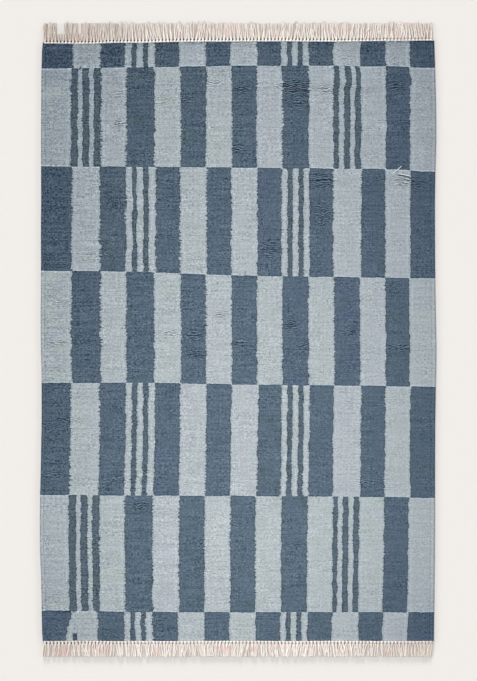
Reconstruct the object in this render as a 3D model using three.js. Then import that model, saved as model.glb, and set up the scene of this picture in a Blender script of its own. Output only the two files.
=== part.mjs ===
// Flatweave rug laid flat: one woven wool cloth with a knotted cotton fringe at each end.
// Millimetres, +X across the rug, +Y along it, +Z up from the floor that it lies on.

import * as THREE from 'three';

const { clamp, lerp, smoothstep } = THREE.MathUtils;

// Driving dimensions
const weave = { width: 2000, length: 3040, thickness: 6 };
const sideCord = { rounding: 3, swell: 1.2, reach: 16 };

// The knot rows stand this far off the hems.
const gap = 0.3;

// A knot gathers the warp ends of one strand against the hem, and a low valley parts it from the
// next. depth is measured outward from the hem.
const knots = { count: 111, rowWidth: 1976, neck: 8 };
const knotSection = { back: 5.5, crown: 9, crownDepth: 6, front: 5, depth: 12 };
const valleySection = { back: 4, crown: 4.4, crownDepth: 4, front: 3.4, depth: 8 };

// A strand leaves its knot at the neck, spreads to its flare and thins to its tip. bevel is how
// much narrower its top is at each side, and share is how far along the strand it is widest.
const flare = { width: 14, height: 4.5, bevel: 2.2, share: 0.35 };
const tip = { width: 11.5, height: 2.8, bevel: 1.6 };

// The tips are combed level, however the hem runs. reach is from the hem's straight line to the
// longest of them. They sweep aside by lean, in so many slow waves along the row, and single
// strands are shorter and further aside by their own small amounts.
const fringes = [
  { name: 'fringe_top', side: 1, reach: 96, shorter: 8, lean: 7, waves: 4.5, seed: 3 },
  { name: 'fringe_bottom', side: -1, reach: 81, shorter: 6, lean: 8, waves: 6, seed: 8 },
];
const ownLean = 1.2;

// How far each side stands out from its straight line, by distance down from the top hem.
const sideRuns = [
  { down: 0, left: -6, right: -5 },
  { down: 160, left: -1, right: 1 },
  { down: 330, left: -1, right: 5 },
  { down: 480, left: 0, right: 5 },
  { down: 660, left: 0, right: 0 },
  { down: 820, left: -1, right: -2 },
  { down: 960, left: 1, right: -1 },
  { down: 1180, left: 0, right: 0 },
  { down: 1420, left: 2, right: 4 },
  { down: 1560, left: 1, right: 6.5 },
  { down: 1720, left: -3, right: 3 },
  { down: 1940, left: -3, right: 0 },
  { down: 2130, left: 1, right: -1 },
  { down: 2370, left: 6, right: -1 },
  { down: 2560, left: 6.5, right: -2 },
  { down: 2720, left: 0, right: -3 },
  { down: 2880, left: -3, right: -5 },
  { down: 3040, left: -6, right: -7 },
];

// How far each hem stands out from its straight line, by distance across from the left side.
const hemRuns = [
  { across: 0, top: -9, bottom: 1 },
  { across: 250, top: -11, bottom: -1 },
  { across: 420, top: -4, bottom: 2 },
  { across: 520, top: -6, bottom: 0 },
  { across: 700, top: 0, bottom: 1 },
  { across: 1000, top: 1, bottom: -1 },
  { across: 1300, top: 2, bottom: 1 },
  { across: 1450, top: 0, bottom: -1 },
  { across: 1800, top: 4, bottom: 1 },
  { across: 2000, top: 6, bottom: 0 },
];

// Low ripples that run across the cloth: where each crest lies, where it fades out to the left
// and right, how high it lifts the cloth and half its width.
const ripples = [
  { down: 215, from: 700, to: 1880, rise: 2.5, half: 42 },
  { down: 455, from: 1120, to: 2040, rise: 2, half: 40 },
  { down: 690, from: 1180, to: 2040, rise: 2.5, half: 44 },
  { down: 1465, from: 360, to: 900, rise: 2, half: 40 },
  { down: 1550, from: 1640, to: 2040, rise: 2, half: 38 },
  { down: 1895, from: -40, to: 420, rise: 2, half: 44 },
  { down: 1895, from: 1600, to: 2040, rise: 2, half: 44 },
  { down: 2205, from: -40, to: 380, rise: 2.2, half: 36 },
  { down: 2250, from: 1380, to: 1760, rise: 2, half: 40 },
  { down: 2355, from: 330, to: 720, rise: 2, half: 40 },
];
const rippleFade = 0.4;
const rippleSlopes = [-1, -0.5, 0, 0.5, 1];

// How finely the cloth's skin is divided.
const skin = { columnStep: 125, rowStep: 112, apart: 28, crestApart: 9 };

// Yarns
const wool = new THREE.MeshStandardMaterial({ color: 0x7d8e9c, roughness: 0.95, metalness: 0 });
const cotton = new THREE.MeshStandardMaterial({ color: 0xe3dad0, roughness: 0.9, metalness: 0 });

// Eased value of a table's column at a place between its rows
function runAt(table, key, column, place) {
  const held = clamp(place, table[0][key], table[table.length - 1][key]);
  const after = Math.max(1, table.findIndex((row) => row[key] >= held));
  const [low, high] = [table[after - 1], table[after]];
  const share = (held - low[key]) / (high[key] - low[key]);
  return lerp(low[column], high[column], smoothstep(share, 0, 1));
}

// Fixed scatter between 0 and 1 for a numbered strand, the far decimals of a stretched sine
const mix = { number: 12.9898, seed: 78.233, stretch: 43758.5453 };

function scatter(number, seed) {
  const value = Math.sin(number * mix.number + seed * mix.seed) * mix.stretch;
  return value - Math.floor(value);
}

// Closed skin made of bands between rings of points
// A ring runs over the top from right to left, seen along the way that the rings follow.
class Skin {
  points = [];

  faces = [];

  ring(places) {
    return places.map(([x, y, z]) => this.points.push(x, y, z) / 3 - 1);
  }

  band(near, far, openSide = -1) {
    near.forEach((corner, side) => {
      const next = (side + 1) % near.length;
      if (side === openSide) return;
      this.faces.push(corner, far[side], far[next]);
      this.faces.push(corner, far[next], near[next]);
    });
  }

  // Zips a ring shut between its upper and lower points, looking along the rings or back.
  cap(ring, looksBack = false) {
    const face = (a, b, c) => this.faces.push(...(looksBack ? [a, c, b] : [a, b, c]));
    let low = 0;
    let high = ring.length - 1;
    while (high - low > 1) {
      face(ring[low], ring[high], ring[low + 1]);
      low += 1;
      if (high - low > 1) face(ring[low], ring[high], ring[high - 1]);
      high -= 1;
    }
  }

  mesh(name, yarn) {
    const geometry = new THREE.BufferGeometry();
    geometry.setAttribute('position', new THREE.Float32BufferAttribute(this.points, 3));
    geometry.setIndex(this.faces);
    geometry.computeVertexNormals();
    const mesh = new THREE.Mesh(geometry, yarn);
    mesh.name = name;
    return mesh;
  }
}

// Woven cloth

// A place on the cloth, drawn out or in so that its sides and hems follow their runs
function onCloth(across, down) {
  const left = -weave.width / 2 - runAt(sideRuns, 'down', 'left', down);
  const right = weave.width / 2 + runAt(sideRuns, 'down', 'right', down);
  const top = weave.length / 2 + runAt(hemRuns, 'across', 'top', across);
  const bottom = -weave.length / 2 - runAt(hemRuns, 'across', 'bottom', across);
  return [lerp(left, right, across / weave.width), lerp(top, bottom, down / weave.length)];
}

function liftAt(across, down) {
  const lifts = ripples.map(({ down: crest, from, to, rise, half }) => {
    const away = Math.abs(down - crest) / half;
    const aside = Math.abs(2 * across - from - to) / (to - from);
    return rise * (1 - smoothstep(away, 0, 1)) * (1 - smoothstep(aside, rippleFade, 1));
  });
  return Math.max(...lifts);
}

function thicknessAt(across) {
  const inward = Math.min(across, weave.width - across);
  return weave.thickness + sideCord.swell * (1 - smoothstep(inward, 0, sideCord.reach));
}

// Places with at least a least step between them, the first given ones kept first
function keepApart(kept, more, least) {
  for (const place of more) {
    if (kept.every((other) => Math.abs(other - place) >= least)) kept.push(place);
  }
  return kept.sort((one, other) => one - other);
}

function evenPlaces(length, step) {
  const count = Math.round(length / step);
  return Array.from({ length: count + 1 }, (_, number) => (length * number) / count);
}

// Rows lie close together over each ripple and far apart between them
function clothRows() {
  const slopes = ripples.flatMap(({ down, half }) => rippleSlopes.map((share) => down + share * half));
  const rows = keepApart([0, weave.length], slopes, skin.crestApart);
  return keepApart(rows, evenPlaces(weave.length, skin.rowStep), skin.apart);
}

function clothColumns() {
  const even = evenPlaces(weave.width, skin.columnStep).slice(1, -1);
  const cord = [sideCord.rounding, sideCord.reach];
  return [...cord, ...even, ...cord.map((inset) => weave.width - inset).reverse()];
}

// One ring around the cloth: upper side from left to right, then the underside back
function clothRing(down) {
  const columns = clothColumns();
  const place = (across, height) => [...onCloth(across, down), liftAt(across, down) + height];
  const half = thicknessAt(sideCord.rounding) / 2;
  return [
    place(0, half),
    ...columns.map((across) => place(across, thicknessAt(across))),
    place(weave.width, half),
    ...columns.map((across) => place(across, 0)).reverse(),
  ];
}

function wovenField() {
  const cloth = new Skin();
  const rings = clothRows().map((down) => cloth.ring(clothRing(down)));
  rings.slice(1).forEach((ring, row) => cloth.band(rings[row], ring));
  cloth.cap(rings[0], true);
  cloth.cap(rings[rings.length - 1]);
  return cloth.mesh('woven_field', wool);
}

// Fringe
// Both fringes are made as the top one, and the bottom one is turned half round about Z.

// The hem is straight between the cloth's columns, and its knots lie along the same line
function hemAt(x, side) {
  const down = side > 0 ? 0 : weave.length;
  const line = [0, ...clothColumns(), weave.width].map((across) => onCloth(across, down));
  const after = line.findIndex(([place]) => place >= side * x);
  const [low, high] = [line[after - 1], line[after]];
  return side * lerp(low[1], high[1], (side * x - low[0]) / (high[0] - low[0]));
}

// Section through the knot row, from its lower back edge over the crown to its lower front edge,
// where the front face starts at the corner numbered frontSide
const frontSide = 3;

function knotRowSection(x, section, side) {
  const hem = hemAt(x, side) + gap;
  return [
    [x, hem, 0],
    [x, hem, section.back],
    [x, hem + section.crownDepth, section.crown],
    [x, hem + section.depth, section.front],
    [x, hem + section.depth, 0],
  ];
}

function strandSection(x, y, { width, height, bevel }) {
  return [
    [x + width / 2, y, 0],
    [x + width / 2 - bevel, y, height],
    [x - width / 2 + bevel, y, height],
    [x - width / 2, y, 0],
  ];
}

function fringe({ name, side, reach, shorter, lean, waves, seed }) {
  const body = new Skin();
  const pitch = knots.rowWidth / knots.count;
  const turned = (section) => section.map(([x, y, z]) => [side * x, side * y, z]);
  const addRing = (section) => body.ring(turned(section));
  let valley = addRing(knotRowSection(-knots.rowWidth / 2, valleySection, side));
  body.cap(valley, true);

  for (let number = 0; number < knots.count; number += 1) {
    const x = pitch * (number + 0.5) - knots.rowWidth / 2;
    const left = addRing(knotRowSection(x - knots.neck / 2, knotSection, side));
    const right = addRing(knotRowSection(x + knots.neck / 2, knotSection, side));
    const nextValley = addRing(knotRowSection(x + pitch / 2, valleySection, side));
    body.band(valley, left);
    body.band(left, right, frontSide);
    body.band(right, nextValley);
    valley = nextValley;

    // The strand leaves through the open front of its knot
    const start = hemAt(x, side) + gap + knotSection.depth;
    const end = weave.length / 2 + reach - shorter * scatter(number, seed);
    const wave = Math.sin((2 * Math.PI * waves * number) / knots.count + seed);
    const sweep = lean * wave + ownLean * (2 * scatter(number, seed + 1) - 1);
    const flareY = lerp(start, end, flare.share);
    const root = [right[frontSide + 1], right[frontSide], left[frontSide], left[frontSide + 1]];
    const spread = addRing(strandSection(x + sweep * flare.share, flareY, flare));
    const cutEnd = addRing(strandSection(x + sweep, end, tip));
    body.band(root, spread);
    body.band(spread, cutEnd);
    body.cap(cutEnd);
  }
  body.cap(valley);
  return body.mesh(name, cotton);
}

// Rug, with the middle of its underside at the origin
const rug = new THREE.Group();
rug.add(wovenField(), ...fringes.map(fringe));
const middle = new THREE.Box3().setFromObject(rug).getCenter(new THREE.Vector3());
rug.position.set(-middle.x, -middle.y, 0);

export default rug;
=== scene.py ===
"""Dresses the flatweave rug: its cloth, woven in blocks of two blues, and its knotted cotton fringes."""

import math

import bmesh
import bpy
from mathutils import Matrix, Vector, noise
from mathutils.bvhtree import BVHTree


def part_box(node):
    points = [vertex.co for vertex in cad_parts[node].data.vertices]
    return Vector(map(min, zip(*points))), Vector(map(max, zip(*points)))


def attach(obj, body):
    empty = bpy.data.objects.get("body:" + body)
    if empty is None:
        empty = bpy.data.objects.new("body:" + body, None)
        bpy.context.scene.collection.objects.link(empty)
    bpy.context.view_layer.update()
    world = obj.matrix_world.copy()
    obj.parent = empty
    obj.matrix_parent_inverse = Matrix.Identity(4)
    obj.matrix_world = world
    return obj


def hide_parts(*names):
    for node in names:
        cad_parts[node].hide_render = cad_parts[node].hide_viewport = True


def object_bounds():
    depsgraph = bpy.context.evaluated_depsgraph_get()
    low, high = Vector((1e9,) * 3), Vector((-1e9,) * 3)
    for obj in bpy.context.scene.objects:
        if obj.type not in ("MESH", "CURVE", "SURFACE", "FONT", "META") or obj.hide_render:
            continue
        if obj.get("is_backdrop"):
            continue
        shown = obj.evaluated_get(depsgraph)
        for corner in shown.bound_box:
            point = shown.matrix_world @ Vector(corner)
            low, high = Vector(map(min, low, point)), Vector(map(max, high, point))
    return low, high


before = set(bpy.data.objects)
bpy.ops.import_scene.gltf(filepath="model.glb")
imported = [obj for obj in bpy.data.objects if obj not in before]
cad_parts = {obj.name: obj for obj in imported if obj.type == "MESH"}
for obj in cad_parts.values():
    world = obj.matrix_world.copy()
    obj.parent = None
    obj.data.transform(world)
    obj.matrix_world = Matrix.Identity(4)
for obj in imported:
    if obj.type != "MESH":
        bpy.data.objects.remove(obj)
CAD_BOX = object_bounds()

# Cloth, in metres
FLAT_SIZE = (2.0, 3.04)
THICKNESS = 0.006
SIDE_CORD = {"swell": 0.0010, "reach": 0.016}
RIM = {"rounding": 0.0022, "segments": 3}
HEM_LINE = 1.5126

# Widths of the block columns, from the left side
COLUMN_WIDTHS = (
    0.149, 0.146, 0.130, 0.146, 0.130, 0.131, 0.129, 0.130,
    0.126, 0.138, 0.125, 0.136, 0.126, 0.124, 0.134,
)
# Where each row of blocks ends, down from the hem line, at six places across
ROW_END_PLACES = (0.07, 0.50, 1.00, 1.50, 1.80, 1.93)
ROW_ENDS = (
    (0.136, 0.130, 0.122, 0.122, 0.126, 0.132),
    (0.633, 0.634, 0.639, 0.645, 0.647, 0.660),
    (1.163, 1.167, 1.187, 1.194, 1.197, 1.200),
    (1.732, 1.729, 1.739, 1.744, 1.747, 1.751),
    (2.299, 2.303, 2.304, 2.308, 2.311, 2.313),
    (2.886, 2.893, 2.894, 2.893, 2.894, 2.895),
)
# Blocks woven as five stripes, with the stripes' edges as shares of the block's width
STRIPED_BLOCKS = (
    {"column": 3, "rows": (0, 2, 4, 6), "edges": (0.195, 0.390, 0.584, 0.780)},
    {"column": 9, "rows": (0, 2, 4, 6), "edges": (0.188, 0.402, 0.596, 0.806)},
    {"column": 1, "rows": (1, 5), "edges": (0.256, 0.382, 0.622, 0.742)},
    {"column": 11, "rows": (1, 5), "edges": (0.205, 0.368, 0.606, 0.768)},
)
# How far the joins of each row lie to the right of even spacing
ROW_DRIFTS = (0.0032, 0.0049, 0.0070, 0.0043, 0.0036, 0.0005, -0.0034)
# Joins that stand off their line, by row and by the column they start, to the right where positive
JOIN_SHIFTS = (
    {
        1: 0.008, 2: -0.002, 3: -0.0035, 5: -0.0035, 6: -0.0025,
        7: -0.0035, 10: -0.0025, 11: 0.0025, 13: 0.007, 14: 0.0025,
    },
    {1: -0.0055, 2: 0.0050, 11: -0.0045},
    {1: 0.0035, 2: -0.0045, 4: 0.003, 6: 0.002, 11: -0.0025, 12: 0.002, 14: 0.002},
    {2: 0.0045, 3: 0.0015, 5: 0.001, 10: -0.003, 12: -0.003, 13: -0.003, 14: -0.0025},
    {1: -0.003, 2: -0.0050, 8: 0.004, 12: 0.0015, 13: 0.002, 14: 0.0015},
    {1: -0.006, 2: 0.006, 3: 0.0015, 6: 0.0015, 9: 0.003, 13: -0.004},
    {1: 0.010, 2: -0.0075, 4: -0.0055, 5: -0.0035, 9: 0.0035, 11: 0.0025, 14: 0.002},
)
SHIFT_REACH = 0.10
# A strip this tall at each row's end lets its joins step aside from those of the next row
STEP_STRIP = 0.001
# How far joins wander, as waves with scales across and down, a place in the noise and a size
END_WAVES = ((7, 5.3, 2, 0.0022), (26, 5.3, 4, 0.00088), (62, 5.3, 6, 0.0024))
SIDE_WAVES = ((9, 9, 7, 0.0025), (30, 28, 9, 0.0066))
# How far a row's end swells under its dark blocks
BULGE = 0.0012
# How deep the teeth of the side joins bite, less to the right, further down and in stripes
BITE = {"start": 0.0315, "aside": 0.009, "falls": (1.2, 0.12), "own": (0.75, 1.25), "stripe": 0.014}
# The dark stripes are dyed greener than any block, whose own dye lies between 0 and 1
STRIPE_DYE = 1.2
# The first join leans in the last row, where the weaver made up the width
LEANING_JOIN = {"column": 1, "row": 6, "lean": -0.034, "reach": 0.12}
# Cells of the mesh across a block, across a stripe and down
CELLS = {"block": 8, "stripe": 3, "down": 0.0132}
UNEVEN = {"height": 0.0003, "spread": 16}
# Places where joins are pulled aside: middle, half size and pull to the right
SIDE_PULLS = (
    ((0.149, 0.150), (0.060, 0.050), 0.0075),
    ((0.425, 0.160), (0.060, 0.060), 0.0065),
    ((0.832, 0.175), (0.070, 0.070), 0.0075),
    ((1.545, 0.175), (0.130, 0.100), 0.0105),
    ((1.545, 0.205), (0.120, 0.036), 0.0055),
    ((1.875, 0.190), (0.075, 0.050), 0.0135),
    ((1.091, 0.455), (0.070, 0.110), -0.0065),
    ((1.355, 0.455), (0.065, 0.100), -0.0065),
    ((1.900, 0.470), (0.070, 0.100), -0.0030),
    ((1.616, 0.560), (0.080, 0.090), -0.0055),
    ((0.250, 0.590), (0.070, 0.060), -0.0060),
    ((0.425, 0.835), (0.060, 0.060), 0.0060),
    ((0.425, 1.035), (0.060, 0.090), 0.0075),
    ((1.355, 1.320), (0.065, 0.060), -0.0065),
    ((1.616, 1.450), (0.055, 0.050), -0.0060),
    ((0.701, 1.485), (0.060, 0.080), 0.0065),
    ((0.295, 1.680), (0.060, 0.060), -0.0060),
    ((1.350, 1.980), (0.060, 0.060), 0.0035),
    ((0.560, 2.080), (0.090, 0.080), 0.0035),
    ((1.866, 2.265), (0.060, 0.045), 0.0095),
    ((0.571, 2.800), (0.060, 0.080), -0.0065),
)
# Corners that the weaving has pulled out of square
CORNER_PULLS = (
    {"side": -1, "hem": 1, "pull": (0.004, 0.008), "reach": (0.022, 0.030)},
    {"side": -1, "hem": -1, "pull": (0.003, 0.0), "reach": (0.060, 0.050)},
)

# Wrinkles drawn in by tight wefts: middle, half size and depth. Each fades out at its reach, in halves.
WRINKLES = (
    ((0.870, 0.210), (0.055, 0.020), 1.2),
    ((1.010, 0.245), (0.055, 0.030), 0.85),
    ((1.275, 0.228), (0.100, 0.042), 1.6),
    ((1.295, 0.300), (0.070, 0.045), 1.0),
    ((1.435, 0.240), (0.065, 0.034), 1.05),
    ((1.560, 0.225), (0.060, 0.020), 0.6),
    ((1.790, 0.222), (0.060, 0.034), 0.85),
    ((1.930, 0.215), (0.060, 0.018), 0.5),
    ((0.382, 0.275), (0.040, 0.055), 0.5),
    ((0.387, 0.415), (0.035, 0.024), 1.6),
    ((0.605, 0.305), (0.040, 0.030), 0.65),
    ((0.742, 0.290), (0.060, 0.025), 0.8),
    ((0.990, 0.542), (0.040, 0.030), 1.1),
    ((1.430, 0.695), (0.075, 0.045), 1.25),
    ((1.860, 0.700), (0.110, 0.040), 0.9),
    ((1.420, 0.870), (0.050, 0.090), 0.8),
    ((1.150, 1.050), (0.050, 0.060), 0.9),
    ((0.300, 1.100), (0.120, 0.030), 0.65),
    ((0.909, 1.390), (0.045, 0.030), 1.0),
    ((0.090, 1.350), (0.060, 0.020), 0.75),
    ((0.100, 1.545), (0.110, 0.020), 0.7),
    ((0.656, 1.490), (0.060, 0.022), 0.95),
    ((0.783, 1.497), (0.060, 0.030), 1.0),
    ((0.783, 1.590), (0.060, 0.035), 1.0),
    ((1.020, 1.530), (0.060, 0.028), 0.7),
    ((1.265, 1.435), (0.045, 0.040), 1.15),
    ((1.340, 1.540), (0.040, 0.030), 0.7),
    ((1.560, 1.465), (0.070, 0.025), 0.8),
    ((1.810, 1.540), (0.085, 0.025), 0.8),
    ((0.120, 1.925), (0.090, 0.020), 0.8),
    ((0.080, 2.200), (0.100, 0.020), 0.8),
    ((0.400, 2.225), (0.070, 0.020), 0.7),
    ((0.504, 2.350), (0.070, 0.024), 0.9),
    ((1.630, 2.235), (0.060, 0.028), 0.8),
    ((1.285, 2.560), (0.055, 0.030), 0.4),
    ((1.290, 2.750), (0.055, 0.022), 0.4),
    ((1.010, 2.450), (0.050, 0.025), 0.4),
    ((0.820, 2.690), (0.025, 0.025), 0.3),
)
WRINKLE_REACH = 1.3
# Fine creases: their two ends and the shade in each
CREASES = (
    ((1.800, 0.674), (1.885, 0.692), 2.9),
    ((1.862, 0.690), (1.903, 0.715), 1.9),
    ((1.872, 0.703), (1.900, 0.692), -1.0),
    ((1.815, 0.694), (1.885, 0.708), 1.2),
    ((1.900, 0.716), (1.945, 0.709), 0.8),
    ((1.325, 0.249), (1.378, 0.247), 1.6),
    ((1.225, 0.212), (1.300, 0.232), 0.9),
    ((1.250, 0.240), (1.295, 0.224), 0.9),
)
CREASE_WIDTH = 0.0044
# How strong the grain is, falling off to the right and down
GRAIN = {"start": 1.06, "aside": 0.09, "down": 0.05}
# Flecks of the grain: their scales across and down, spread about the mean and weight
FLECKS = {
    "picks": {"scales": (72.0, 190.0), "spread": 0.20, "weight": 1.0},
    "ribs": {"scales": (190.0, 74.0), "spread": 0.20, "weight": 0.8},
    "runs": {"scales": (7.0, 95.0), "spread": 0.15, "weight": 0.46},
    "warps": {"scales": (108.0, 7.0), "spread": 0.15, "weight": 0.25},
}
MOTTLE = {"stretch": (0.88, 1.0, 1.0), "scale": 122.0, "spread": 0.20, "weight": 0.45}
# How much the grain's tone, the painted shade and highlight of the folds and the painted shade in the gaps
# between wefts change the wool's colour, and how much less they do in pale wool
SHADING = {"grain": 0.315, "fold": 0.74, "gap": -0.16, "pale": 0.44, "strength": 0.55}
RELIEF = {"weft": 0.0007, "mottle": 0.0009, "hair": 0.0002, "join": 0.0004, "fold": 0.0014, "cord": -0.0008}
# Strips along the joins and sides, by the distances over which they rise and fall
STRIPS = {
    "pale_rim": ((0.0050, 0.0140), (0.0240, 0.0100)),
    "warm_rim": ((0.0, 0.0060), (0.0280, 0.0100)),
    "side_cord": ((0.0060, 0.0100), (0.0180, 0.0140)),
    "cord_line": ((0.0170, 0.0200), (0.0250, 0.0220)),
    "neck": ((0.003, 0.006), (0.016, 0.011)),
}
# A slip of dark weft left in a pale block, by its middle and half size
DARK_SLIP = {"at": (0.1725, 3.019), "half": (0.0115, 0.019)}

# How light the blues are, by distance down, and how that falls off aside at the top and bottom: partly fading
# and partly painted light, lighter in the middle of the rug and darker towards its sides, and darkest along
# the top hem in the painted shadow of the knots
LIGHT_AND_FADE_DOWN = (
    (0.0, 0.20), (0.025, 0.32), (0.06, 0.46), (0.4, 0.58), (0.9, 0.71),
    (1.45, 0.86), (2.0, 0.95), (2.55, 0.98), (2.85, 0.86), (3.04, 0.76),
)
LIGHT_AND_FADE_ASIDE = {"middle": (1.08, 1.00), "fall": (0.44, 0.54)}

# Knots and yarns of the fringes
KNOTS = {"count": 111, "row_width": 1.976}
LOOP = {"yarn": 0.0042, "half_width": 0.0056, "height": 0.0044, "half_height": 0.0023}
LOOP_RUN = {
    "turns": 1.5, "points": 13, "start": 0.0022, "depth": 0.0060,
    "turn_scatter": 0.2, "depth_scatter": 0.1,
}
# A white cord is twined along the hem, and a dark cord lies under the strands outside the knots, painted
# shadow that shows between the knots.
HEM_CORDS = (
    {"name": "twined_cord", "yarn": 0.0052, "height": 0.0030},
    {"name": "dark_cord", "yarn": 0.0054, "height": 0.0028},
)
HEM_CORD_POINTS = 240
YARN = {"each_knot": 8, "under": 4, "thickness": 0.0026, "sides": 6, "start": 0.0040, "end": 0.990}
YARN_SCATTER = {"flare": 0.0030, "bend": 0.0050, "short": 0.14}
# How far the yarns of a strand spread at its neck, flare and tip, the shares of that inside the knot and
# in the under yarns, and how far down the flare lies
SPREAD = {"start": 0.7, "neck": 0.0094, "flare": 0.0160, "tip": 0.0170, "share": 0.35, "under": 1.45}
# How far a leaning knot moves its yarns aside, as shares of its slant, inside it and at neck and flare
SLANT_SHARES = (-0.4, 0.6, 0.4)
CROSSING = {"upper": 0.030, "under": 0.012}
# Heights of a yarn at its knot, its neck, its flare, half way and its tip, and how far they vary
HEIGHTS = {
    "under": (0.0040, 0.0044, 0.0020, 0.0015, 0.0014),
    "upper": (0.0048, 0.0058, 0.0040, 0.0034, 0.0024),
    "vary": (0.0, 0.0, 0.0012, 0.0014, 0.0008),
}
# How far a strand strays from the sweep of the fringe, by itself and with its neighbours
SWEEP = {"own": 0.0012, "shared": 0.015, "scale": 17}
# A yarn whose own scatter, from -0.5 to 0.5, lies below this strays past the rest
STRAY_FROM = -0.42
FRINGES = (
    {
        "name": "top", "side": 1, "lean": 0.007, "waves": 4.5, "ragged": 0.006, "stray": 0.010, "seed": 3,
        "off_hem": -0.0020, "slant": 0.0, "cords": (0.0028, 0.0122),
        "shaded_under_tone": 0.17, "cord_tones": (0.72, 0.2),
        "partings": ((-0.998, 0.014), (0.120, 0.006), (0.560, 0.006)),
        "gaps": ((-0.903, 0.023), (-0.803, 0.012)), "bleached": ((0.212, 0.078),),
    },
    {
        "name": "bottom", "side": -1, "lean": 0.008, "waves": 6.0, "ragged": 0.004, "stray": 0.002, "seed": 8,
        "off_hem": -0.0011, "slant": 0.004, "cords": (0.0028, 0.0112),
        "shaded_under_tone": 0.42, "cord_tones": (0.5, 0.2),
        "partings": ((-0.735, 0.007), (-0.520, 0.005), (0.380, 0.006), (0.700, 0.005)),
        "gaps": (), "bleached": (),
    },
)
# How far a parting reaches, and its shares at the flare and in the under yarns
PARTING = {"reach": 0.050, "flare": 0.1, "under": 0.7}
# In a gap of the fringe the yarns are short, by this share of their length
GAP_LENGTH = 0.40
BLEACHED_TONE = 0.50
# A weft end left loose, by its distances across and down and its height
LOOSE_WEFT = {
    "yarn": 0.0038,
    "points": (
        (1.828, 0.632, 0.0068), (1.816, 0.644, 0.0080), (1.804, 0.655, 0.0082),
        (1.794, 0.663, 0.0078), (1.784, 0.670, 0.0066),
    ),
}

# Colours
# Each blue runs from its deep colour to its lighter one as the cloth's painted light and fading rise
SLATE = {"deep": "#344658", "light_and_faded": "#5d7081", "greener": "#4c5f66", "bluer": "#515f7a"}
MIST = {"deep": "#89939c", "light_and_faded": "#bbc4c8", "greener": "#a8b5b1", "bluer": "#adb1bf"}
# Rim colours: a painted highlight, a painted shade for pale wool, a warm strip and a painted shade for dark
# wool
RIM_COLOURS = {"light": "#b9ccd8", "dull": "#8fa8b8", "warm": "#7c6a58", "dark": "#22303d"}
DEEPEST_SHADE = (0.0005, 0.010, 0.024)
COTTON_TINTS = {"pink": "#e9c9bf", "cream": "#f3e9d8", "shade_towards_ends": "#beb0a6", "cord": "#ada59f"}
# Yarns, with where along the rug each is painted darker towards the rug's ends, has painted shade at its
# neck, or, for the dark cords of painted shadow, is paler
YARNS = {
    "strands_top": {
        "name": "undyed_cotton", "deep": "#ac9d92", "light": "#fffaf4",
        "root_contrast": 0.7, "warmth": 0.30, "greyed": 0.14,
        "shade_towards_ends": {"middle": 0.20, "from": 0.48, "to": 1.20, "share": 0.50},
        "dull": {"from": 0.30, "to": 0.75, "share": 0.50},
    },
    "strands_bottom": {
        "name": "paler_cotton", "deep": "#d3c0b3", "light": "#fffcf8",
        "root_contrast": 0.7, "warmth": 0.50, "greyed": 0.02,
        "shade_towards_ends": {"middle": -0.06, "from": 0.42, "to": 1.00, "share": 0.34},
        "dull": {"from": -0.85, "to": -0.45, "share": 0.50},
    },
    "knots": {
        "name": "knotted_cotton", "deep": "#b8afa9", "light": "#fbf8f5",
        "shade_towards_ends": {"middle": 0.10, "from": 0.42, "to": 1.10, "share": 0.34},
    },
    # The dark cords stand in for the shadow between the knots
    "dark_cord_top": {
        "name": "painted_shadow_cord", "deep": "#14110f", "light": "#2a2420",
        "paled": {"from": 0.30, "to": 0.90, "share": 0.87},
    },
    "dark_cord_bottom": {
        "name": "paler_painted_shadow_cord", "deep": "#14110f", "light": "#2a2420",
        "paled": {"from": -0.99, "to": -0.38, "share": 0.86},
    },
    "loose_weft": {"name": "loose_wool", "deep": "#b4c0c7", "light": "#e6edf0"},
}
FLOOR = {"colour": "#d0cdca", "radius": 60, "sides": 64, "below": 0.0003}


def eased(share):
    """Smooth step from 0 to 1."""
    held = min(1.0, max(0.0, share))
    return held * held * (3 - 2 * held)


def lerp(start, end, share):
    return start + (end - start) * share


def between(place, places, values):
    """Value at a place, on straight runs between known ones."""
    held = min(places[-1], max(places[0], place))
    for low, high, start, end in zip(places, places[1:], values, values[1:]):
        if held <= high:
            return lerp(start, end, (held - low) / (high - low))
    return values[-1]


def scatter(number, seed):
    """Fixed scatter between 0 and 1."""
    value = math.sin(number * 12.9898 + seed * 78.233) * 43758.5453
    return value - math.floor(value)


def linear(code):
    """Linear colour of a hex code, with alpha."""
    parts = [int(code[place:place + 2], 16) / 255 for place in (1, 3, 5)]
    return [part / 12.92 if part <= 0.04045 else ((part + 0.055) / 1.055) ** 2.4 for part in parts] + [1]


def placed(name, data):
    """Adds an object to the scene."""
    made = bpy.data.objects.new(name, data)
    bpy.context.scene.collection.objects.link(made)
    return made


def finished_mesh(name, shape):
    mesh = bpy.data.meshes.new(name)
    shape.to_mesh(mesh)
    shape.free()
    return mesh


def piece(name, mesh, material):
    """Adds a finished mesh as a piece that rides on the rug."""
    made = placed(name, mesh)
    mesh.materials.clear()
    mesh.materials.append(material)
    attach(made, "root")
    return made


# Outline and ripples of the cloth, read off the frame

FIELD_LOW, FIELD_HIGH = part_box("woven_field")


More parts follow.
